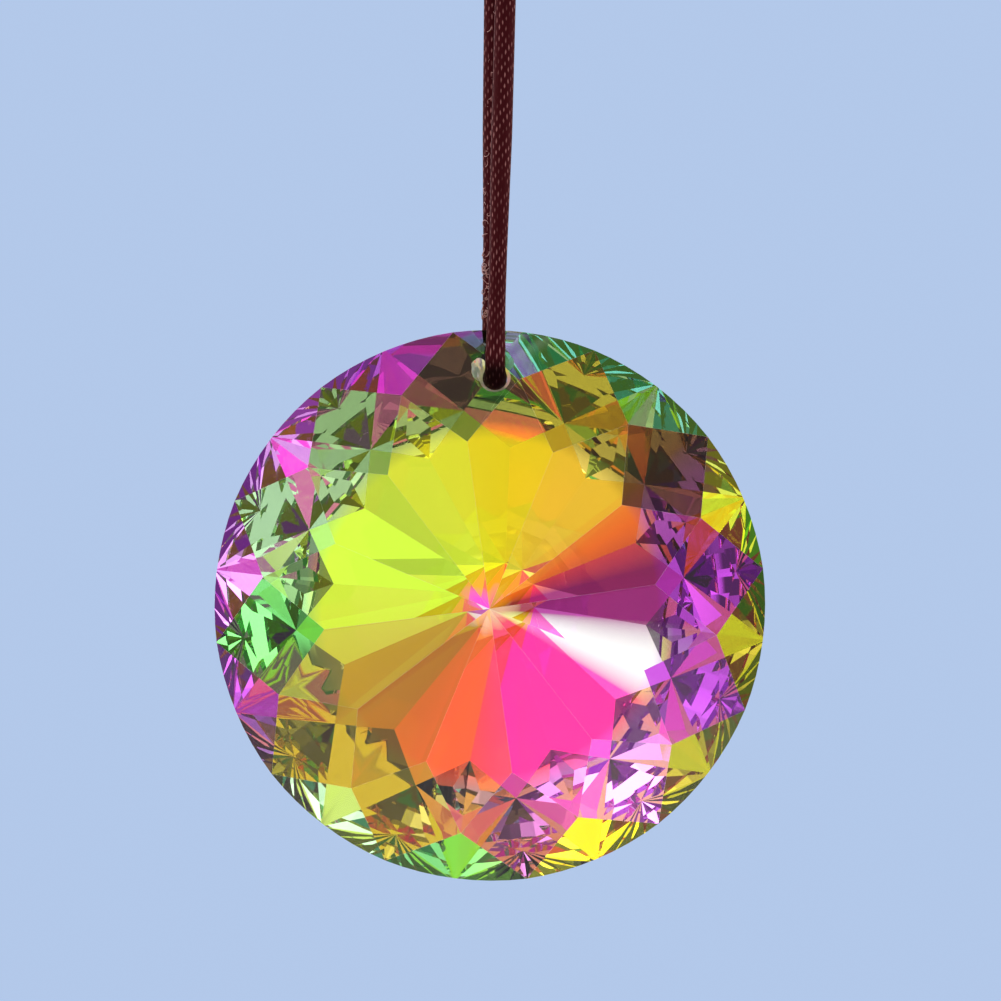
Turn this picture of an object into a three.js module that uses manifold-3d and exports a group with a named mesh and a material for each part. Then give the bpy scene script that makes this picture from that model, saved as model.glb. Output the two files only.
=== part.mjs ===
// Faceted crystal suncatcher: a clear round disc, cut with twelvefold facets on its front and its back,
// that hangs by a satin cord. The cord passes through a small hole near the rim, both of its strands run
// up to a wound knot, and above the knot it ends in a small eye for a hook.
// Millimetres, +Z up. The front looks along -Y, with +X to its right as it is seen from the front.
// The origin is on the underside of the eye's top, where a hook carries it.
import * as THREE from 'three';
import { mergeVertices } from 'three/addons/utils/BufferGeometryUtils.js';
import Module from 'manifold-3d';

const rad = THREE.MathUtils.degToRad;

// ---- driving dimensions -------------------------------------------------------------------------

const disc = {
  radius: 30,
  centreZ: -90, // the disc hangs this far under the hook
  girdle: 2.8, // thickness between a front rim tip and the same height behind
  rimSteps: 8, // straight steps of the outline in one facet pattern step
};

// Both sides repeat their pattern this many times.
const facetCount = 12;

// Each side's cut: which way it looks along Y, the direction of its first tip from +X, the slope of the
// facets that meet in the middle, and how far out the square facets' inner tips are, and the corners
// where neighbouring squares meet, as shares of the disc's radius. The back is turned half a step on,
// and it is the steeper one, so that it throws the light back.
const front = { looks: -1, turn: rad(9), slope: rad(20), tipShare: 0.597, cornerShare: 0.824 };
const back = { looks: 1, turn: rad(24), slope: rad(28), tipShare: 0.5, cornerShare: 0.64 };

const hole = { radius: 1.35, aboveCentre: 24.7, sides: 24, chamfer: 0.22, chamferDepth: 0.3 };

const cord = { diameter: 1.9, sides: 8 };

// The knot: its flat ends are small and its turns stand proud of them.
const knot = {
  bottomZ: -21.4,
  turns: 3,
  coreRadius: 2.1,
  turnsOut: 0.5,
  endEdge: 0.3,
  sides: 24,
  arcSteps: 6,
};

// The cord's route, from the knot down the front, through the hole and up the back to the knot again.
const cordRoute = [
  [0.2, -0.95, -21.7],
  [0.18, -1.79, -28],
  [0.15, -2.87, -36],
  [0.1, -3.94, -44],
  [0.06, -5.01, -52],
  [0.02, -5.68, -57],
  [0, -6.2, -60.9],
  [0, -6.1, -62.5],
  [0, -5.35, -63.95],
  [0, -4.05, -65],
  [0, -2.5, -65.35],
  [-0.02, 0, -65.38],
  [-0.14, 2.9, -65.35],
  [-0.22, 4.5, -65],
  [-0.34, 5.85, -63.95],
  [-0.46, 6.6, -62.5],
  [-0.55, 6.7, -60.9],
  [-0.62, 6.13, -57],
  [-0.7, 5.39, -52],
  [-0.79, 4.22, -44],
  [-0.88, 3.05, -36],
  [-0.97, 1.87, -28],
  [-1.05, 0.95, -21.7],
];

// The eye's route: out of the knot, round the hook and back into the knot.
const eyeRoute = [
  [-1.15, 0, -14.8],
  [-1.4, 0, -12.8],
  [-2.3, 0, -10.4],
  [-3.4, 0, -7.9],
  [-4.15, 0, -5.5],
  [-4.35, 0, -3.4],
  [-4, 0, -1.75],
  [-3.1, 0, -0.3],
  [-1.65, 0, 0.6],
  [0, 0, 0.95],
  [1.65, 0, 0.6],
  [3.1, 0, -0.3],
  [4, 0, -1.75],
  [4.35, 0, -3.4],
  [4.15, 0, -5.5],
  [3.4, 0, -7.9],
  [2.3, 0, -10.4],
  [1.4, 0, -12.8],
  [1.15, 0, -14.8],
];

// ---- materials ----------------------------------------------------------------------------------

const crystalMaterial = new THREE.MeshStandardMaterial({
  color: 0xd8c95a,
  roughness: 0.03,
  metalness: 0,
  transparent: true,
  opacity: 0.45,
});
const cordMaterial = new THREE.MeshStandardMaterial({ color: 0x3f1a1c, roughness: 0.45, metalness: 0 });

// ---- the facets ---------------------------------------------------------------------------------

const step = (2 * Math.PI) / facetCount;
const halfStepCos = Math.cos(step / 2);

// The radii and the heights over the disc's middle plane of one side's facet corners, and the slopes of
// its facets. The middle facets fix how far the inner tips stand over the corners, and the square facets
// carry that slope on, down to the rim tips.
function cornersOf(side) {
  const tipRadius = side.tipShare * disc.radius;
  const cornerRadius = side.cornerShare * disc.radius;
  const tipToCorner = Math.tan(side.slope) * (cornerRadius - tipRadius * halfStepCos);
  const squareSlope = tipToCorner / (cornerRadius * halfStepCos - tipRadius);
  const rimTip = disc.girdle / 2;
  const corner = rimTip + squareSlope * (disc.radius - cornerRadius * halfStepCos);
  const tip = corner + tipToCorner;
  const apex = corner + Math.tan(side.slope) * cornerRadius;
  const rimSlope = (corner - rimTip) / (disc.radius * halfStepCos - cornerRadius);
  return { tipRadius, cornerRadius, apex, tip, corner, rimTip, squareSlope, rimSlope };
}

// A point of one side's cut, at a direction, a distance from the middle and a height.
function cutPoint(side, direction, radius, height) {
  return [radius * Math.cos(direction), side.looks * height, radius * Math.sin(direction)];
}

// The edge of one side's facets round the rim, from its first tip on. Between two tips it dips.
function rimEdge(side) {
  const { cornerRadius, corner, rimSlope } = cornersOf(side);
  const points = [];
  for (let i = 0; i < facetCount * disc.rimSteps; i += 1) {
    const along = (i / disc.rimSteps) * step;
    const fromMiddle = (along % step) - step / 2;
    const height = corner - rimSlope * (disc.radius * Math.cos(fromMiddle) - cornerRadius);
    points.push(cutPoint(side, side.turn + along, disc.radius, height));
  }
  return points;
}

// All the facets of one side, as triangles that turn the same way round as the side's directions.
function sideFacets(side) {
  const at = cornersOf(side);
  const rim = rimEdge(side);
  const rimPoint = (i) => rim[i % rim.length];
  const apex = cutPoint(side, 0, 0, at.apex);
  const triangles = [];
  for (let k = 0; k < facetCount; k += 1) {
    const direction = side.turn + k * step;
    const tip = cutPoint(side, direction, at.tipRadius, at.tip);
    const nextTip = cutPoint(side, direction + step, at.tipRadius, at.tip);
    const corner = cutPoint(side, direction + step / 2, at.cornerRadius, at.corner);
    const lastCorner = cutPoint(side, direction - step / 2, at.cornerRadius, at.corner);
    const rimTip = rimPoint(k * disc.rimSteps);
    triangles.push([apex, tip, corner], [apex, corner, nextTip]);
    triangles.push([tip, lastCorner, rimTip], [tip, rimTip, corner]);
    for (let i = 0; i < disc.rimSteps; i += 1) {
      const first = k * disc.rimSteps + i;
      triangles.push([corner, rimPoint(first), rimPoint(first + 1)]);
    }
  }
  return triangles;
}

// The band between the front's and the back's edges, which start at different tips.
function girdleFacets() {
  const frontRim = rimEdge(front);
  const backRim = rimEdge(back);
  const lag = Math.round(((back.turn - front.turn) / step) * disc.rimSteps);
  const triangles = [];
  for (let i = 0; i < frontRim.length; i += 1) {
    const next = (i + 1) % frontRim.length;
    const behind = backRim[(i - lag + backRim.length) % backRim.length];
    const behindNext = backRim[(next - lag + backRim.length) % backRim.length];
    triangles.push([frontRim[i], behind, frontRim[next]], [frontRim[next], behind, behindNext]);
  }
  return triangles;
}

function facetedDisc() {
  const triangles = [
    ...sideFacets(front),
    ...sideFacets(back).map(([a, b, c]) => [a, c, b]),
    ...girdleFacets(),
  ];
  const geometry = new THREE.BufferGeometry();
  geometry.setAttribute('position', new THREE.Float32BufferAttribute(triangles.flat(2), 3));
  return geometry;
}

// ---- the hole -----------------------------------------------------------------------------------

const wasm = await Module();
wasm.setup();

function toSolid(geometry) {
  geometry.deleteAttribute('normal');
  geometry.deleteAttribute('uv');
  const merged = mergeVertices(geometry, 1e-5);
  const vertProperties = new Float32Array(merged.attributes.position.array);
  const triVerts = new Uint32Array(merged.index.array);
  return new wasm.Manifold(new wasm.Mesh({ numProp: 3, vertProperties, triVerts }));
}

function toGeometry(solid) {
  const mesh = solid.getMesh();
  const indexed = new THREE.BufferGeometry();
  indexed.setAttribute('position', new THREE.BufferAttribute(mesh.vertProperties, 3));
  indexed.setIndex(new THREE.BufferAttribute(mesh.triVerts, 1));
  const geometry = indexed.toNonIndexed();
  geometry.computeVertexNormals();
  return geometry;
}

function lathe(profile, sides) {
  return new THREE.LatheGeometry(profile.map(([radius, along]) => new THREE.Vector2(radius, along)), sides);
}

// The drill runs straight through, from front to back.
function drill() {
  const reach = cornersOf(back).apex;
  const profile = [[0, -reach], [hole.radius, -reach], [hole.radius, reach], [0, reach]];
  return lathe(profile, hole.sides).translate(0, 0, hole.aboveCentre);
}

// A shallow cone that breaks the hole's edge on one side, square to the facet that it comes out of. It
// keeps its slope twice as far as the chamfer goes, so that it cuts right through the edge.
function chamferCone(side) {
  const { rimTip, squareSlope } = cornersOf(side);
  const toHole = Math.PI / 2;
  const facet = side.turn + Math.round((toHole - side.turn) / step) * step;
  const along = hole.aboveCentre * Math.cos(toHole - facet);
  const height = rimTip + squareSlope * (disc.radius - along);
  const slope = Math.atan(squareSlope);
  const normal = new THREE.Vector3(...cutPoint(side, facet, Math.sin(slope), Math.cos(slope)));
  const onFacet = hole.radius / Math.cos(slope) + hole.chamfer;
  const reach = 2 * hole.chamferDepth;
  const flare = 2 * hole.chamfer;
  const profile = [[0, -reach], [onFacet - flare, -reach], [onFacet + flare, reach], [0, reach]];
  const cone = lathe(profile, hole.sides);
  cone.applyQuaternion(new THREE.Quaternion().setFromUnitVectors(new THREE.Vector3(0, 1, 0), normal));
  return cone.translate(0, side.looks * height, hole.aboveCentre);
}

function crystalGeometry() {
  let solid = toSolid(facetedDisc());
  solid = solid.subtract(toSolid(drill()));
  solid = solid.subtract(toSolid(chamferCone(front)));
  solid = solid.subtract(toSolid(chamferCone(back)));
  return toGeometry(solid);
}

// ---- the cord -----------------------------------------------------------------------------------

function tube(route, stepLength) {
  const curve = new THREE.CatmullRomCurve3(route.map((point) => new THREE.Vector3(...point)));
  curve.arcLengthDivisions = 1000;
  const section = new THREE.Shape();
  section.absarc(0, 0, cord.diameter / 2, 0, 2 * Math.PI);
  return new THREE.ExtrudeGeometry(new THREE.Shape(section.getSpacedPoints(cord.sides).slice(0, -1)), {
    steps: Math.round(curve.getLength() / stepLength),
    extrudePath: curve,
    bevelEnabled: false,
  });
}

// Turns of cord wound side by side round the strands.
function knotGeometry() {
  const turnRadius = cord.diameter / 2;
  const profile = [[0, 0], [knot.coreRadius, 0]];
  for (let turn = 0; turn < knot.turns; turn += 1) {
    const middle = knot.endEdge + turnRadius + turn * cord.diameter;
    for (let i = turn === 0 ? 0 : 1; i <= knot.arcSteps; i += 1) {
      const angle = -Math.PI / 2 + (i / knot.arcSteps) * Math.PI;
      const out = knot.coreRadius + knot.turnsOut + turnRadius * Math.cos(angle);
      profile.push([out, middle + turnRadius * Math.sin(angle)]);
    }
  }
  const height = 2 * knot.endEdge + knot.turns * cord.diameter;
  profile.push([knot.coreRadius, height], [0, height]);
  return lathe(profile, knot.sides).rotateX(Math.PI / 2);
}

// ---- the object ---------------------------------------------------------------------------------

function piece(name, geometry, material) {
  const mesh = new THREE.Mesh(geometry, material);
  mesh.name = name;
  return mesh;
}

const crystal = piece('crystal_disc', crystalGeometry(), crystalMaterial);
crystal.position.z = disc.centreZ;

const cordKnot = piece('cord_knot', knotGeometry(), cordMaterial);
cordKnot.position.z = knot.bottomZ;

const suncatcher = new THREE.Group();
suncatcher.add(crystal);
suncatcher.add(piece('hanging_cord', tube(cordRoute, cord.diameter), cordMaterial));
suncatcher.add(cordKnot);
suncatcher.add(piece('hanging_eye', tube(eyeRoute, cord.diameter), cordMaterial));

export default suncatcher;
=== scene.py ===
"""Looks for the crystal suncatcher: coated faceted crystal, satin cord, wound knot and hanging eye.

The model hangs from its origin along -Z, its front looks along -Y, and every length is in metres.
"""
import math
import random

import bmesh
import bpy
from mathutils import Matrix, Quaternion, Vector


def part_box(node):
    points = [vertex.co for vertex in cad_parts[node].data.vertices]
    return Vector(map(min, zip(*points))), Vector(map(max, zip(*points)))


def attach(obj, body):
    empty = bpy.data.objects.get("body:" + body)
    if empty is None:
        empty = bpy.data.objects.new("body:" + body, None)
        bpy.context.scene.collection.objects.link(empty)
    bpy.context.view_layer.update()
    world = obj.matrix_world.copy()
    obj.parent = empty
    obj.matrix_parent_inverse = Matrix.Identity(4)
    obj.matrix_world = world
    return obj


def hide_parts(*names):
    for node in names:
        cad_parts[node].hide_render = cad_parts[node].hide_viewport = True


MM = 0.001

# ---- camera ------------------------------------------------------------------------------------------

CAMERA_DISTANCE = 0.4
VIEW_WIDTH = 0.1093  # what the frame shows at the disc's depth
CAMERA_RIGHT = 0.9 * MM
CAMERA_ABOVE_DISC = 11.45 * MM
CAMERA_ROLL = math.radians(1.3)

# ---- cord --------------------------------------------------------------------------------------------

CORD_DIAMETER = 1.9 * MM

# The cord's route, the same as in the part's source, in millimetres.
CORD_ROUTE = [
    (0.2, -0.95, -21.7),
    (0.18, -1.79, -28),
    (0.15, -2.87, -36),
    (0.1, -3.94, -44),
    (0.06, -5.01, -52),
    (0.02, -5.68, -57),
    (0, -6.2, -60.9),
    (0, -6.1, -62.5),
    (0, -5.35, -63.95),
    (0, -4.05, -65),
    (0, -2.5, -65.35),
    (-0.02, 0, -65.38),
    (-0.14, 2.9, -65.35),
    (-0.22, 4.5, -65),
    (-0.34, 5.85, -63.95),
    (-0.46, 6.6, -62.5),
    (-0.55, 6.7, -60.9),
    (-0.62, 6.13, -57),
    (-0.7, 5.39, -52),
    (-0.79, 4.22, -44),
    (-0.88, 3.05, -36),
    (-0.97, 1.87, -28),
    (-1.05, 0.95, -21.7),
]
EYE_ROUTE = [
    (-1.15, 0, -14.8),
    (-1.4, 0, -12.8),
    (-2.3, 0, -10.4),
    (-3.4, 0, -7.9),
    (-4.15, 0, -5.5),
    (-4.35, 0, -3.4),
    (-4, 0, -1.75),
    (-3.1, 0, -0.3),
    (-1.65, 0, 0.6),
    (0, 0, 0.95),
    (1.65, 0, 0.6),
    (3.1, 0, -0.3),
    (4, 0, -1.75),
    (4.35, 0, -3.4),
    (4.15, 0, -5.5),
    (3.4, 0, -7.9),
    (2.3, 0, -10.4),
    (1.4, 0, -12.8),
    (1.15, 0, -14.8),
]
SPAN_STEPS = 8  # steps of the smooth route between two points of a list
KNOT_TURNS = 3
TURN_STEPS = 36
KNOT_LEAD = 1.5  # how far the strands go straight on inside the knot, in millimetres

# The cord's knit: columns of stitches round it, and stitches in a column per diameter of its length.
STITCH_COLUMNS = 19
STITCHES_PER_DIAMETER = 1.5
COLUMN_LAG = 0.62  # how far each column's stitches lie behind its neighbour's
STITCH_WANDER = (0.35, 0.6, 0)  # how far noise moves a stitch, in columns and in stitches
WANDER_SCALE = 0.7
STITCH_DEPTH = 0.2 * MM
GLINT_EDGE = (0.1, 0.19)  # how high on a stitch the glint starts, and where it is full
GLINT_PATCHES = (0.35, 0.6)  # the noise between which glints fade in, from stretch to stretch
PATCHES_SCALE = 0.35
CORD_COLOUR = (0.07, 0.007, 0.01, 1)
GLINT_COLOUR = (0.5, 0.2, 0.19, 1)
HOLE_SHADE_HEIGHTS = (-64.6 * MM, -62.9 * MM)  # the heights between which painted shade darkens the cord, down in the hole
HOLE_SHADE_TONE = 0.15  # what is left of its colour under the painted shade

# How much wider the cord is where it bends near the hole, how far up that reaches, then how much more
# where it fills the hole, and how far that reaches along the hole from its middle.
CROWDING = 0.16
CROWDING_REACH = 9 * MM
FILLING = 0.2
FILLING_REACH = 5 * MM

# Loose fibres on the back strand.
FIBRE_SEED = 7
FIBRE_LOWEST = -60 * MM  # no fibre is rooted below this height
FIBRE_COUNT = 130
FIBRE_RADIUS = 0.04 * MM
FIBRE_STEPS = 10
FIBRE_REACH = (0.5 * MM, 1.9 * MM)  # the shortest and the longest
FIBRE_LIFT = 0.12 * MM  # how far its middle stands off the cord
FIBRE_CURL = 5.0  # the most that a fibre turns, in radians
FIBRE_FACING = (-1.3, 0.6)  # which way a fibre's root faces, in radians from the front, left first

# ---- crystal colours ---------------------------------------------------------------------------------

# The coating's colours, as the light that a facet lets through.
WHITE = (1, 1, 1)
GOLD = (1, 0.65, 0.05)
LEMON = (1, 0.8, 0)
CHARTREUSE = (0.9, 1, 0.05)
LIME = (0.6, 0.85, 0.06)
OLIVE = (0.5, 0.42, 0.03)
AMBER = (0.4, 0.15, 0)
BROWN = (0.15, 0.05, 0.02)
CORAL = (1, 0.12, 0.03)
ROSE = (1, 0.02, 0.35)
ORCHID = (0.5, 0.15, 0.4)
PLUM = (0.2, 0.01, 0.08)
PURPLE = (0.3, 0.02, 0.2)
VIOLET = (0.5, 0.06, 0.65)
LILAC = (0.9, 0.35, 1)
SKY = (0.5, 0.75, 1)
TEAL = (0.2, 0.8, 0.6)
MINT = (0.5, 0.8, 0.45)
GREEN = (0.15, 0.6, 0.15)
FERN = (0.3, 0.5, 0.2)
MOSS = (0.2, 0.3, 0.06)

# Where each lies round the disc, in degrees from +X as seen from the front: on the facets that meet in
# the middle, then on the squares, then at the rim. There is a facet of each ring every 30 degrees, and
# a hue that changes within a facet does so over a degree or two, by SPREAD.
MIDDLE_HUES = [
    (23, PLUM),
    (25, CORAL),
    (39, GOLD),
    (54, GOLD),
    (84, LEMON),
    (114, CHARTREUSE),
    (144, LIME),
    (174, LIME),
    (204, OLIVE),
    (219, AMBER),
    (234, AMBER),
    (249, CORAL),
    (264, CORAL),
    (279, ROSE),
    (325, ROSE),
    (327, WHITE),
    (352, WHITE),
    (354, PURPLE),
]
SQUARE_HUES = [
    (9, VIOLET),
    (39, BROWN),
    (69, OLIVE),
    (84, MOSS),
    (99, MOSS),
    (129, FERN),
    (159, MINT),
    (189, GREEN),
    (219, OLIVE),
    (249, OLIVE),
    (279, ORCHID),
    (309, LILAC),
    (339, VIOLET),
]
RIM_HUES = [
    (24, CHARTREUSE),
    (54, TEAL),
    (84, TEAL),
    (114, VIOLET),
    (144, LILAC),
    (159, SKY),
    (174, LILAC),
    (204, VIOLET),
    (234, MINT),
    (264, GREEN),
    (294, LEMON),
    (324, OLIVE),
    (354, OLIVE),
]


# ---- node helpers ------------------------------------------------------------------------------------


def new_material(name):
    material = bpy.data.materials.new(name)
    material.use_nodes = True
    nodes = material.node_tree.nodes
    return material, material.node_tree, nodes["Principled BSDF"]


def put(tree, kind, links=(), **values):
    """A new node with its sockets set from values and linked from links, both by socket name."""
    node = tree.nodes.new(kind)
    for name, value in values.items():
        setattr(node, name, value)
    for socket, source in links:
        if hasattr(source, "is_output"):
            tree.links.new(source, node.inputs[socket])
        else:
            node.inputs[socket].default_value = source
    return node


# ---- crystal -----------------------------------------------------------------------------------------

# How flat a facet lies, as the share of its normal along Y: what parts the front facets that meet in
# the middle from the squares, and the squares from the rim.
FRONT_LIMITS = (0.926, 0.877)
FRONT_SHARE = 0.7  # how much of the middle's tint is on the front, and on the back
BACK_SHARE = 0.45
BACK_APEX_SHIFT = Vector((1.2, -0.15, 0.6)) * MM  # the back's facets meet a little off the middle
# The back's rim and square facets, each by how flat it lies, and how far the middles of its fan and of
# the fans cut on that one stand out.
BACK_FANS = (
    (0.78, 0.3, (0.15 * MM, 0.025 * MM)),
    (0.83, 0.8, (-0.2 * MM, 0.06 * MM)),
)
FAN_AREA = 3e-6  # in square metres; what is smaller stays flat
FAN_CLEAR_OF_HOLE = 4.5 * MM  # no fan has its middle closer to the hole's axis
HOLE_ABOVE_CENTRE = 24.7 * MM
HOLE_REACH = 1.8 * MM  # the hole with its chamfer lies within this of its axis
EDGE_WIDTH = 0.15 * MM  # faces narrower than this are broken edges
WELD_DISTANCE = 1e-6
FLAT_ANGLE = math.radians(0.2)  # faces closer than this in angle are one facet
BEVEL_WIDTH = 0.1 * MM
BEVEL_ANGLE = math.radians(3.5)  # edges flatter than this aren't broken
CRYSTAL_IOR = 1.55
# The crystal's material slots. The coating's is the first.
EDGE_SLOT, CHAMFER_SLOT, CHIP_SLOT, BORE_SLOT = 1, 2, 3, 4
# The chip at the hole's left: where its middle is, how large it is each way, and its tilt.
CHIP_SPOT = Vector((-1.65, -3.4, 25.4)) * MM  # from the middle of the disc
CHIP_SIZE = Vector((0.9, 0.8, 2.0)) * MM
CHIP_LEAN = math.radians(-12)
CHIP_RIPPLE = 0.06  # how uneven its wall is, as a share of its size
# Where the tips of the facets that meet in the middle take the squares' hues, and how much of them.
TIP_REACH = (18 * MM, 20 * MM)
TIP_SHARE = 0.9
# The ragged star in the very middle: how far out it fades, how uneven its rays are, and its tint.
STAR_REACH = (3 * MM, 5 * MM)
STAR_RAGGED = 5 * MM
STAR_RAYS = 5.0
STAR_TINT = (0.75, 0.22, 0.85, 1)
SPREAD = 0.2  # how much of the hue follows the place on the facet, against the way that it leans
WALL_LIMIT = 0.3  # what is steeper than this is the hole's wall or the girdle, which are bare


def hue_ring(tree, angle, hues, strength=1.0):
    """A ring of hues round the disc. A face tints what passes by the square root of its colour, so the
    hues are squared, and strength is how much of the tint this face gives."""
    ring = put(tree, "ShaderNodeValToRGB", [("Fac", angle)])
    stops = ring.color_ramp.elements
    turned = sorted(((degrees + 180) % 360 / 360, colour) for degrees, colour in hues)
    (first, low), (last, high) = turned[0], turned[-1]
    share = (1 - last) / (1 - last + first)
    seam = [a + share * (b - a) for a, b in zip(high, low)]
    placed = [(0.0, seam), *turned, (1.0, seam)]
    while len(stops) < len(placed):
        stops.new(0.5)
    for stop, (spot, colour) in zip(stops, placed):
        stop.position = spot
    for stop, (spot, colour) in zip(stops, placed):
        stop.color = [*(value ** (2 * strength) for value in colour), 1]
    return ring.outputs["Color"]


def pick(tree, value, limit, above, below):
    """One colour where the value is over the limit, and the other where it is under."""
    test = put(tree, "ShaderNodeMath", [(0, value), (1, limit)], operation="GREATER_THAN")
    mix = put(
        tree,
        "ShaderNodeMix",
        [("Factor", test.outputs[0]), (6, below), (7, above)],
        data_type="RGBA",
    )
    return mix.outputs[2]


def star_over(tree, colour, reach, angle):
    """The colour with the ragged star in the very middle over it."""
    rays = put(tree, "ShaderNodeTexNoise", [("W", angle), ("Scale", STAR_RAYS)], noise_dimensions="1D")
    ragged = put(
        tree,
        "ShaderNodeMath",
        [(0, rays.outputs["Fac"]), (1, STAR_RAGGED), (2, reach)],
        operation="MULTIPLY_ADD",
    )
    outside = put(
        tree,
        "ShaderNodeMapRange",
        [("Value", ragged.outputs[0]), ("From Min", STAR_REACH[0]), ("From Max", STAR_REACH[1])],
    )
    star = put(
        tree,
        "ShaderNodeMix",
        [("Factor", outside.outputs["Result"]), (6, STAR_TINT), (7, colour)],
        data_type="RGBA",
    )
    return star.outputs[2]


def crystal_material(centre):
    """Clear crystal with a coating whose hue turns round the disc and differs from ring to ring."""
    material, tree, shader = new_material("coated_crystal")
    geometry = put(tree, "ShaderNodeNewGeometry")
    # The true normal turns inwards on the way out, so it is turned back.
    side = put(
        tree,
        "ShaderNodeMath",
        [(0, geometry.outputs["Backfacing"]), (1, -2), (2, 1)],
        operation="MULTIPLY_ADD",
    )
    outward = put(
        tree,
        "ShaderNodeVectorMath",
        [(0, geometry.outputs["True Normal"]), ("Scale", side.outputs[0])],
        operation="SCALE",
    )
    facing = put(tree, "ShaderNodeSeparateXYZ", [(0, outward.outputs[0])])
    lies = put(tree, "ShaderNodeMath", [(0, facing.outputs["Y"])], operation="ABSOLUTE").outputs[0]
    lean = put(
        tree,
        "ShaderNodeVectorMath",
        [(0, outward.outputs[0]), (1, (1, 0, 1))],
        operation="MULTIPLY",
    )
    lean = put(tree, "ShaderNodeVectorMath", [(0, lean.outputs[0])], operation="NORMALIZE")
    place = put(tree, "ShaderNodeTexCoord")
    out = put(
        tree,
        "ShaderNodeVectorMath",
        [(0, place.outputs["Object"]), (1, centre)],
        operation="SUBTRACT",
    )
    out = put(tree, "ShaderNodeVectorMath", [(0, out.outputs[0]), (1, (1, 0, 1))], operation="MULTIPLY")
    stands = put(tree, "ShaderNodeVectorMath", [(0, out.outputs[0])], operation="NORMALIZE")
    mixed = put(
        tree,
        "ShaderNodeVectorMath",
        [(0, stands.outputs[0]), (1, (SPREAD,) * 3), (2, lean.outputs[0])],
        operation="MULTIPLY_ADD",
    )
    parts = put(tree, "ShaderNodeSeparateXYZ", [(0, mixed.outputs[0])])
    angle = put(
        tree,
        "ShaderNodeMath",
        [(0, parts.outputs["Z"]), (1, parts.outputs["X"])],
        operation="ARCTAN2",
    )
    turn = put(
        tree,
        "ShaderNodeMapRange",
        [("Value", angle.outputs[0]), ("From Min", -math.pi), ("From Max", math.pi)],
    ).outputs["Result"]
    middle, behind = (hue_ring(tree, turn, MIDDLE_HUES, share) for share in (FRONT_SHARE, BACK_SHARE))
    square, rim = (hue_ring(tree, turn, hues) for hues in (SQUARE_HUES, RIM_HUES))
    reach = put(tree, "ShaderNodeVectorMath", [(0, out.outputs[0])], operation="LENGTH").outputs["Value"]
    tip = put(
        tree,
        "ShaderNodeMapRange",
        [("Value", reach), ("From Min", TIP_REACH[0]), ("From Max", TIP_REACH[1]), ("To Max", TIP_SHARE)],
    )
    middle = put(
        tree,
        "ShaderNodeMix",
        [("Factor", tip.outputs["Result"]), (6, middle), (7, square)],
        data_type="RGBA",
    ).outputs[2]
    middle = star_over(tree, middle, reach, angle.outputs[0])
    before = pick(tree, lies, FRONT_LIMITS[0], middle, pick(tree, lies, FRONT_LIMITS[1], square, rim))
    facets = pick(tree, facing.outputs["Y"], 0.0, behind, before)
    coated = pick(tree, lies, WALL_LIMIT, facets, (1, 1, 1, 1))
    tree.links.new(coated, shader.inputs["Base Color"])
    shader.inputs["Roughness"].default_value = 0.0
    shader.inputs["IOR"].default_value = CRYSTAL_IOR
    shader.inputs["Transmission Weight"].default_value = 1.0
    return material


def bare_material(name, dull, roughness, clear):
    """Crystal without a coating, with faint streaks. It lets through the clear share of the light."""
    material, tree, shader = new_material(name)
    place = put(tree, "ShaderNodeTexCoord")
    streaks = put(tree, "ShaderNodeTexNoise", [("Vector", place.outputs["Object"]), ("Scale", 700.0)])
    tint = put(
        tree,
        "ShaderNodeMix",
        [("Factor", streaks.outputs["Fac"]), (6, dull), (7, (1, 1, 1, 1))],
        data_type="RGBA",
    )
    tree.links.new(tint.outputs[2], shader.inputs["Base Color"])
    shader.inputs["Roughness"].default_value = roughness
    shader.inputs["IOR"].default_value = CRYSTAL_IOR
    shader.inputs["Transmission Weight"].default_value = clear
    return material


def bare_parts(mesh, centre):
    """Leaves the broken edges, and the bored hole with its chamfer, without their coating."""
    for face in mesh.polygons:
        if face.material_index == CHIP_SLOT:
            continue
        spots = [mesh.vertices[i].co for i in face.vertices]
        longest = max((a - b).length for a, b in zip(spots, spots[1:] + spots[:1]))
        middle = face.center - centre
        if math.hypot(middle.x, middle.z - HOLE_ABOVE_CENTRE) < HOLE_REACH and face.area < FAN_AREA:
            is_bore = abs(face.normal.y) < WALL_LIMIT
            face.material_index = BORE_SLOT if is_bore else CHAMFER_SLOT
        elif face.area < EDGE_WIDTH * longest and abs(face.normal.y) > WALL_LIMIT:
            face.material_index = EDGE_SLOT


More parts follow.
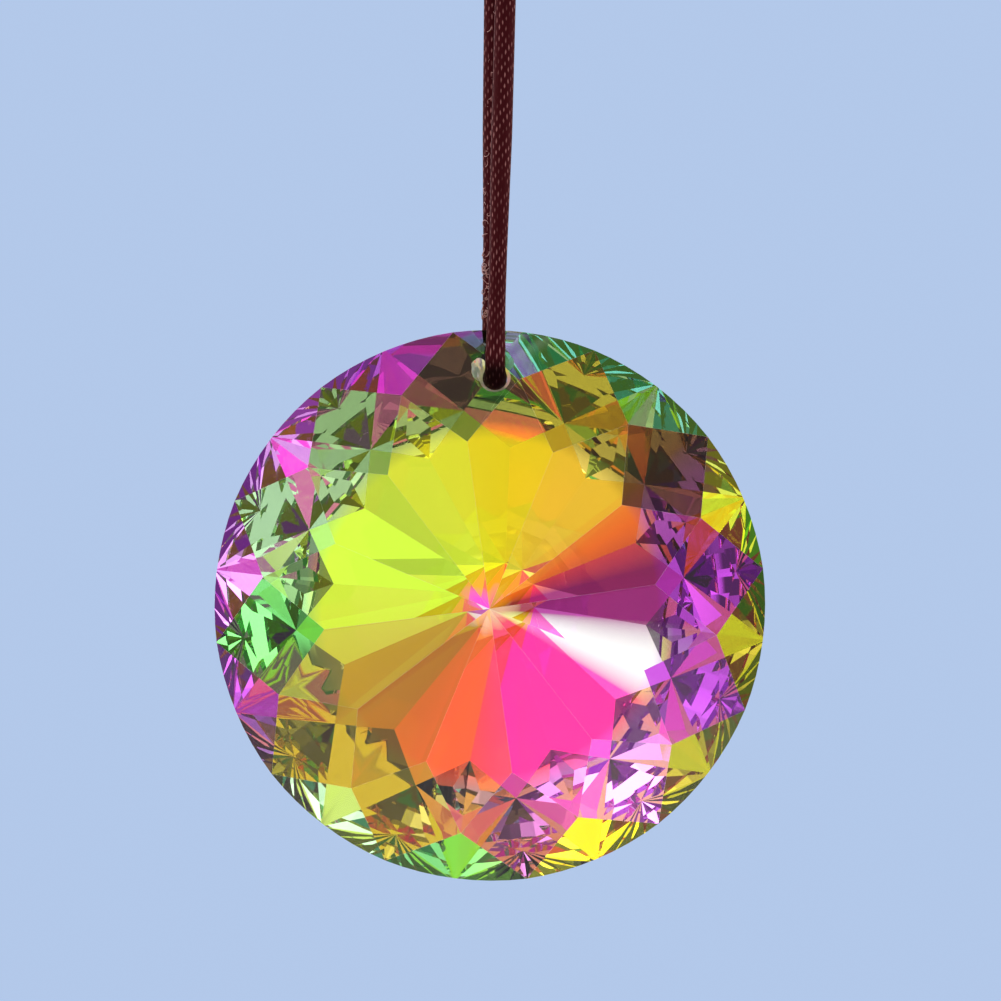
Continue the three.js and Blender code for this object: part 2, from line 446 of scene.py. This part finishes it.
def make_crystal(node):
    """The crystal with its facets' edges broken, the chip taken out and the back's fans cut."""
    low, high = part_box("crystal_disc")
    centre = Vector((0, 0, (low.z + high.z) / 2))
    mesh = node.data.copy()
    mesh.name = "crystal"
    edit = bmesh.new()
    edit.from_mesh(mesh)
    bmesh.ops.remove_doubles(edit, verts=edit.verts, dist=WELD_DISTANCE)
    back_apex = max(edit.verts, key=lambda vertex: vertex.co.y)
    back_apex.co += BACK_APEX_SHIFT
    bmesh.ops.dissolve_limit(edit, angle_limit=FLAT_ANGLE, verts=edit.verts, edges=edit.edges)
    edit.to_mesh(mesh)
    edit.free()
    crystal = bpy.data.objects.new("crystal", mesh)
    bpy.context.scene.collection.objects.link(crystal)
    bevel = crystal.modifiers.new("broken edges", "BEVEL")
    bevel.width = BEVEL_WIDTH
    bevel.segments = 1
    bevel.limit_method = "ANGLE"
    bevel.angle_limit = BEVEL_ANGLE
    chip = crystal.modifiers.new("chip", "BOOLEAN")
    chip.operation = "DIFFERENCE"
    chip.solver = "EXACT"
    chip.object = shell = chip_shell(centre)
    apply_modifiers(crystal)
    bpy.data.objects.remove(shell)
    mesh = crystal.data
    cut_fans(mesh, centre)
    mesh.materials.clear()
    for material in (
        crystal_material(centre),
        bare_material("polished_edge", (0.9, 0.9, 0.85, 1), 0.0, 0.35),
        bare_material("chamfered_glass", (0.5, 0.44, 0.36, 1), 0.5, 0.6),
        bare_material("chipped_glass", (0.35, 0.29, 0.2, 1), 0.4, 0.25),
        # painted shade: the bore's near-black tint stands in for the shade of the cord filling the hole
        bare_material("bore_painted_shade", (0.02, 0.015, 0.01, 1), 0.6, 0.4),
    ):
        mesh.materials.append(material)
    bare_parts(mesh, centre)
    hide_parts("crystal_disc")
    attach(crystal, "root")


def chip_shell(centre):
    """What broke out of the front at the hole's left: a shell shape to take away, with its own slot."""
    edit = bmesh.new()
    bmesh.ops.create_icosphere(edit, subdivisions=3, radius=1.0)
    mesh = bpy.data.meshes.new("chip")
    for vertex in edit.verts:
        ripple = 1 + CHIP_RIPPLE * math.sin(9 * vertex.co.z + 4 * vertex.co.x)
        vertex.co = Vector([a * b * ripple for a, b in zip(vertex.co, CHIP_SIZE)])
        vertex.co.rotate(Quaternion((0, 1, 0), CHIP_LEAN))
    for face in edit.faces:
        face.material_index = CHIP_SLOT
    edit.to_mesh(mesh)
    edit.free()
    for _ in range(CHIP_SLOT + 1):
        mesh.materials.append(None)
    shell = bpy.data.objects.new("chip", mesh)
    shell.location = centre + CHIP_SPOT
    bpy.context.scene.collection.objects.link(shell)
    return shell


def cut_fans(mesh, centre):
    """Cuts the outer facets of the back into fans of small ones: squares hollow, rim facets raised."""
    edit = bmesh.new()
    edit.from_mesh(mesh)
    for flattest, steepest, rises in BACK_FANS:
        fans = []
        for face in edit.faces:
            middle = face.calc_center_median() - centre
            bored = math.hypot(middle.x, middle.z - HOLE_ABOVE_CENTRE) < FAN_CLEAR_OF_HOLE
            if steepest < face.normal.y < flattest and not bored and face.calc_area() > FAN_AREA:
                fans.append(face)
        for rise in rises:
            fans = bmesh.ops.poke(edit, faces=fans, offset=rise)["faces"]
    edit.to_mesh(mesh)
    edit.free()


def apply_modifiers(piece):
    """Puts what the modifiers make into the piece's own mesh."""
    graph = bpy.context.evaluated_depsgraph_get()
    made = bpy.data.meshes.new_from_object(piece.evaluated_get(graph))
    piece.modifiers.clear()
    piece.data = made


# ---- cord --------------------------------------------------------------------------------------------


def smooth_route(route, per_span):
    """Points on a centripetal curve through the route's points, in metres."""
    points = [Vector(p) * MM for p in route]
    ends = [2 * points[0] - points[1], *points, 2 * points[-1] - points[-2]]
    made = []
    for p0, p1, p2, p3 in zip(ends, ends[1:], ends[2:], ends[3:]):
        t1 = (p1 - p0).length ** 0.5
        t2 = t1 + (p2 - p1).length ** 0.5
        t3 = t2 + (p3 - p2).length ** 0.5
        for i in range(per_span):
            t = t1 + (t2 - t1) * i / per_span
            a1 = p0.lerp(p1, t / t1)
            a2 = p1.lerp(p2, (t - t1) / (t2 - t1))
            a3 = p2.lerp(p3, (t - t2) / (t3 - t2))
            b1 = a1.lerp(a2, t / t2)
            b2 = a2.lerp(a3, (t - t1) / (t3 - t1))
            made.append(b1.lerp(b2, (t - t1) / (t2 - t1)))
    made.append(points[-1])
    return made


def add_tube(edit, uv, points, widths, radius, sides):
    """A closed tube along points, with a UV map of turns round it and diameters along it. The widths
    are how many times the radius it is at each point."""
    side = Vector((1, 0, 0))
    along = 0.0
    rings = []
    travels = []
    for i, point in enumerate(points):
        before, after = points[max(i - 1, 0)], points[min(i + 1, len(points) - 1)]
        forward = (after - before).normalized()
        side = (side - forward * side.dot(forward)).normalized()
        across = forward.cross(side)
        along += (point - points[i - 1]).length if i else 0.0
        around = [2 * math.pi * k / sides for k in range(sides)]
        outs = [side * math.cos(angle) + across * math.sin(angle) for angle in around]
        rings.append([edit.verts.new(point + out * radius * widths[i]) for out in outs])
        travels.append(along / (2 * radius))
    for ring, following, v0, v1 in zip(rings, rings[1:], travels, travels[1:]):
        for k in range(sides):
            turned = (k + 1) % sides
            face = edit.faces.new((ring[k], ring[turned], following[turned], following[k]))
            face.smooth = True
            u0, u1 = k / sides, (k + 1) / sides
            for loop, spot in zip(face.loops, ((u0, v0), (u1, v0), (u1, v1), (u0, v1))):
                loop[uv].uv = spot
    edit.faces.new(reversed(rings[0]))
    edit.faces.new(rings[-1])


def tube_mesh(name, paths, radius, sides=32, widths=None):
    """One mesh of the tubes along all the paths."""
    edit = bmesh.new()
    uv = edit.loops.layers.uv.new("cord")
    for points in paths:
        add_tube(edit, uv, points, widths or [1.0] * len(points), radius, sides)
    bmesh.ops.recalc_face_normals(edit, faces=edit.faces)
    mesh = bpy.data.meshes.new(name)
    edit.to_mesh(mesh)
    edit.free()
    return mesh


def crowding(points):
    """How many times its own width the cord is at each point: it spreads as it bends into the hole,
    and fills it, fully over the inner two thirds of the reach."""
    low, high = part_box("crystal_disc")
    hole = (low.z + high.z) / 2 + HOLE_ABOVE_CENTRE
    widths = []
    for point in points:
        near = max(0.0, 1 - abs(point.z - hole) / CROWDING_REACH)
        inside = max(0.0, 1 - abs(point.y) / FILLING_REACH)
        widths.append(1 + CROWDING * near * near * (3 - 2 * near) + FILLING * min(1.0, 3 * inside))
    return widths


def fibre_paths(strand):
    """Loose curls of fibre on the side of a strand that faces the front."""
    chance = random.Random(FIBRE_SEED)
    paths = []
    for _ in range(FIBRE_COUNT):
        root = strand[chance.randrange(len(strand))]
        facing = chance.uniform(*FIBRE_FACING)
        heading = chance.uniform(0, 2 * math.pi)
        curl = chance.uniform(-1, 1) * FIBRE_CURL
        reach = chance.uniform(*FIBRE_REACH)
        rise = 0.0
        points = []
        for i in range(FIBRE_STEPS + 1):
            lift = CORD_DIAMETER / 2 + FIBRE_LIFT * math.sin(math.pi * i / FIBRE_STEPS)
            out = Vector((math.sin(facing), -math.cos(facing), 0)) * lift
            points.append(Vector((root.x, root.y, root.z + rise)) + out)
            facing += reach / FIBRE_STEPS * math.cos(heading) / (CORD_DIAMETER / 2)
            rise += reach / FIBRE_STEPS * math.sin(heading)
            heading += curl / FIBRE_STEPS
        paths.append(points)
    return paths


def satin_material():
    """Dark satin cord: columns of knit stitches that catch the light in short dashes, with painted shade
    where it goes down into the hole.
    """
    material, tree, shader = new_material("satin_cord")
    place = put(tree, "ShaderNodeUVMap", uv_map="cord")
    stitches = put(
        tree,
        "ShaderNodeMapping",
        [("Vector", place.outputs["UV"]), ("Scale", (STITCH_COLUMNS, STITCHES_PER_DIAMETER, 1))],
    )
    wander = put(
        tree,
        "ShaderNodeTexNoise",
        [("Vector", stitches.outputs[0]), ("Scale", WANDER_SCALE), ("Detail", 2.0)],
    )
    wandered = put(
        tree,
        "ShaderNodeVectorMath",
        [(0, wander.outputs["Color"]), (1, STITCH_WANDER), (2, stitches.outputs[0])],
        operation="MULTIPLY_ADD",
    )
    cell = put(tree, "ShaderNodeSeparateXYZ", [(0, wandered.outputs[0])])
    column = put(tree, "ShaderNodeMath", [(0, cell.outputs["X"])], operation="FLOOR")
    along = put(
        tree,
        "ShaderNodeMath",
        [(0, column.outputs[0]), (1, COLUMN_LAG), (2, cell.outputs["Y"])],
        operation="MULTIPLY_ADD",
    )
    humps = []
    for travel in (cell.outputs["X"], along.outputs[0]):
        wave = put(tree, "ShaderNodeMath", [(0, travel), (1, 0.5)], operation="PINGPONG")
        humps.append(wave.outputs[0])
    stitch = put(tree, "ShaderNodeMath", [(0, humps[0]), (1, humps[1])], operation="MULTIPLY")
    lit = put(
        tree,
        "ShaderNodeMapRange",
        [("Value", stitch.outputs[0]), ("From Min", GLINT_EDGE[0]), ("From Max", GLINT_EDGE[1])],
        interpolation_type="SMOOTHSTEP",
    )
    patchy = put(
        tree,
        "ShaderNodeTexNoise",
        [("Vector", stitches.outputs[0]), ("Scale", PATCHES_SCALE), ("Detail", 3.0)],
    )
    shows = put(
        tree,
        "ShaderNodeMapRange",
        [
            ("Value", patchy.outputs["Fac"]),
            ("From Min", GLINT_PATCHES[0]),
            ("From Max", GLINT_PATCHES[1]),
        ],
    )
    glint = put(tree, "ShaderNodeMath", [(0, lit.outputs[0]), (1, shows.outputs[0])], operation="MULTIPLY")
    thread = put(
        tree,
        "ShaderNodeMix",
        [("Factor", glint.outputs[0]), (6, CORD_COLOUR), (7, GLINT_COLOUR)],
        data_type="RGBA",
    )
    spot = put(tree, "ShaderNodeTexCoord")
    height = put(tree, "ShaderNodeSeparateXYZ", [(0, spot.outputs["Object"])])
    # painted shade: the colour is darkened down in the hole, where the cord bends into shade
    unshaded = put(
        tree,
        "ShaderNodeMapRange",
        [
            ("Value", height.outputs["Z"]),
            ("From Min", HOLE_SHADE_HEIGHTS[0]),
            ("From Max", HOLE_SHADE_HEIGHTS[1]),
            ("To Min", HOLE_SHADE_TONE),
        ],
    )
    tone = put(
        tree,
        "ShaderNodeVectorMath",
        [(0, thread.outputs[2]), ("Scale", unshaded.outputs["Result"])],
        operation="SCALE",
    )
    tree.links.new(tone.outputs[0], shader.inputs["Base Color"])
    bump = put(
        tree,
        "ShaderNodeBump",
        [("Height", stitch.outputs[0]), ("Strength", 0.7), ("Distance", STITCH_DEPTH)],
    )
    tree.links.new(bump.outputs["Normal"], shader.inputs["Normal"])
    shader.inputs["Roughness"].default_value = 0.55
    shader.inputs["Specular IOR Level"].default_value = 0.03
    shader.inputs["Sheen Weight"].default_value = 0.02
    shader.inputs["Sheen Roughness"].default_value = 0.4
    shader.inputs["Sheen Tint"].default_value = (0.8, 0.25, 0.25, 1)
    return material


def fibre_material():
    """Pale pink fibres, paler here and there."""
    material, tree, shader = new_material("loose_fibre")
    place = put(tree, "ShaderNodeTexCoord")
    fade = put(tree, "ShaderNodeTexNoise", [("Vector", place.outputs["Object"]), ("Scale", 900.0)])
    pink = put(
        tree,
        "ShaderNodeMix",
        [("Factor", fade.outputs["Fac"]), (6, (0.4, 0.08, 0.07, 1)), (7, (1, 0.65, 0.6, 1))],
        data_type="RGBA",
    )
    tree.links.new(pink.outputs[2], shader.inputs["Base Color"])
    shader.inputs["Roughness"].default_value = 0.5
    return material


def place_piece(name, mesh, material, *nodes):
    piece = bpy.data.objects.new(name, mesh)
    bpy.context.scene.collection.objects.link(piece)
    mesh.materials.append(material)
    if nodes:
        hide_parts(*nodes)
    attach(piece, "root")
    return piece


def make_cords(material):
    """The hanging cord, the eye and the knot between them."""
    knot = place_piece("wound_knot", knot_mesh(), material, "cord_knot")
    strands = smooth_route(CORD_ROUTE, SPAN_STEPS)
    cord = place_piece(
        "satin_cord",
        tube_mesh("satin_cord", [strands], CORD_DIAMETER / 2, widths=crowding(strands)),
        material,
        "hanging_cord",
    )
    loop = smooth_route(EYE_ROUTE, SPAN_STEPS)
    eye = place_piece(
        "satin_eye",
        tube_mesh("satin_eye", [loop], CORD_DIAMETER / 2),
        material,
        "hanging_eye",
    )
    back_strand = [point for point in strands if point.y > 0 and point.z > FIBRE_LOWEST]
    fibres = tube_mesh("loose_fibres", fibre_paths(back_strand), FIBRE_RADIUS, sides=5)
    place_piece("loose_fibres", fibres, fibre_material())


def past_end(route):
    """A point straight on from the route's first one, inside the knot."""
    end, following = Vector(route[0]), Vector(route[1])
    return end + (end - following).normalized() * KNOT_LEAD


def knot_mesh():
    """Turns of the cord wound round the strands, and the strands inside it."""
    low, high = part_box("cord_knot")
    outer = (high.x - low.x) / 2
    middle = outer - CORD_DIAMETER / 2
    rise = (high.z - low.z - CORD_DIAMETER) / KNOT_TURNS
    points = []
    for i in range(TURN_STEPS * KNOT_TURNS + 1):
        angle = 2 * math.pi * i / TURN_STEPS
        height = low.z + CORD_DIAMETER / 2 + rise * i / TURN_STEPS
        points.append(Vector((middle * math.cos(angle), middle * math.sin(angle), height)))
    inside = []
    for top, bottom in ((EYE_ROUTE[::-1], CORD_ROUTE), (EYE_ROUTE, CORD_ROUTE[::-1])):
        route = [top[0], past_end(top), past_end(bottom), bottom[0]]
        inside.append(smooth_route(route, 6))
    return tube_mesh("wound_knot", [points, *inside], CORD_DIAMETER / 2)


# ---- light, floor and camera -------------------------------------------------------------------------

BACKDROP = (0.45, 0.58, 0.82, 1)
PATCH_SCALE = 3.2
PATCH_LEVELS = ((0.42, 0.15), (0.62, 2.8))  # where the light's noise is dim and bright, and how much
PANEL_LEVEL = 1.35  # an even light behind the crystal
PANEL_EDGE = (0.6, 0.75)  # where it ends, as the share of its direction along Y
FRONT_LEVEL = 0.3  # a dimmer light before it, so that its face isn't veiled
FRONT_EDGE = (-0.2, -0.4)
FLOOR_RADIUS = 1.2
FLOOR_HEIGHT = -0.4


def make_camera():
    low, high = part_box("crystal_disc")
    data = bpy.data.cameras.new("camera")
    data.sensor_width = 36
    data.lens = data.sensor_width * CAMERA_DISTANCE / VIEW_WIDTH
    camera = bpy.data.objects.new("camera", data)
    height = (low.z + high.z) / 2 + CAMERA_ABOVE_DISC
    camera.location = (CAMERA_RIGHT, -CAMERA_DISTANCE, height)
    level = Vector((0, 1, 0)).to_track_quat("-Z", "Y")
    camera.rotation_mode = "QUATERNION"
    camera.rotation_quaternion = level @ Quaternion((0, 0, 1), CAMERA_ROLL)
    bpy.context.scene.collection.objects.link(camera)
    bpy.context.scene.camera = camera


def make_world():
    """Soft studio light all round with some darker patches, and a plain pale backdrop."""
    world = bpy.data.worlds.new("studio")
    world.use_nodes = True
    tree = world.node_tree
    background = tree.nodes["Background"]
    place = put(tree, "ShaderNodeTexCoord")
    clouds = put(
        tree,
        "ShaderNodeTexNoise",
        [("Vector", place.outputs["Generated"]), ("Scale", PATCH_SCALE), ("Detail", 1.0)],
    )
    patches = put(tree, "ShaderNodeValToRGB", [("Fac", clouds.outputs["Fac"])])
    for stop, (spot, level) in zip(patches.color_ramp.elements, PATCH_LEVELS):
        stop.position = spot
        stop.color = (level, level, level, 1)
    split = put(tree, "ShaderNodeSeparateXYZ", [(0, place.outputs["Generated"])])
    sky = patches.outputs["Color"]
    for (low, high), level in ((PANEL_EDGE, PANEL_LEVEL), (FRONT_EDGE, FRONT_LEVEL)):
        inside = put(
            tree,
            "ShaderNodeMapRange",
            [("Value", split.outputs["Y"]), ("From Min", low), ("From Max", high)],
            interpolation_type="SMOOTHSTEP",
        )
        even = (level, level, level, 1)
        layer = put(
            tree,
            "ShaderNodeMix",
            [("Factor", inside.outputs["Result"]), (6, sky), (7, even)],
            data_type="RGBA",
        )
        sky = layer.outputs[2]
    path = put(tree, "ShaderNodeLightPath")
    seen = put(
        tree,
        "ShaderNodeMix",
        [("Factor", path.outputs["Is Camera Ray"]), (6, sky), (7, BACKDROP)],
        data_type="RGBA",
    )
    tree.links.new(seen.outputs[2], background.inputs["Color"])
    background.inputs["Strength"].default_value = 1.0
    bpy.context.scene.world = world


def make_floor():
    """A plain pale floor, well under the hanging crystal."""
    edit = bmesh.new()
    bmesh.ops.create_circle(edit, cap_ends=True, segments=64, radius=FLOOR_RADIUS)
    mesh = bpy.data.meshes.new("floor")
    edit.to_mesh(mesh)
    edit.free()
    floor = bpy.data.objects.new("floor", mesh)
    floor.location.z = FLOOR_HEIGHT
    material, _, shader = new_material("pale_floor")
    shader.inputs["Base Color"].default_value = (0.85, 0.86, 0.88, 1)
    shader.inputs["Roughness"].default_value = 0.8
    mesh.materials.append(material)
    bpy.context.scene.collection.objects.link(floor)


def soften_view():
    scene = bpy.context.scene
    scene.view_settings.view_transform = "Standard"
    scene.cycles.max_bounces = 24
    scene.cycles.transmission_bounces = 24
    scene.cycles.glossy_bounces = 16


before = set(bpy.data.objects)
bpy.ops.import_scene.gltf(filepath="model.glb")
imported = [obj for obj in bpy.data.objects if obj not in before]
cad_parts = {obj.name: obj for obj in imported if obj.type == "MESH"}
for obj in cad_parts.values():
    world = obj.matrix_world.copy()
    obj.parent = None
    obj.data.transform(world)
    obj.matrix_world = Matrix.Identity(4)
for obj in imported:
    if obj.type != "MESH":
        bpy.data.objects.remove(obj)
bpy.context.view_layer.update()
make_camera()
make_cords(satin_material())
make_crystal(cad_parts["crystal_disc"])
make_world()
make_floor()
soften_view()
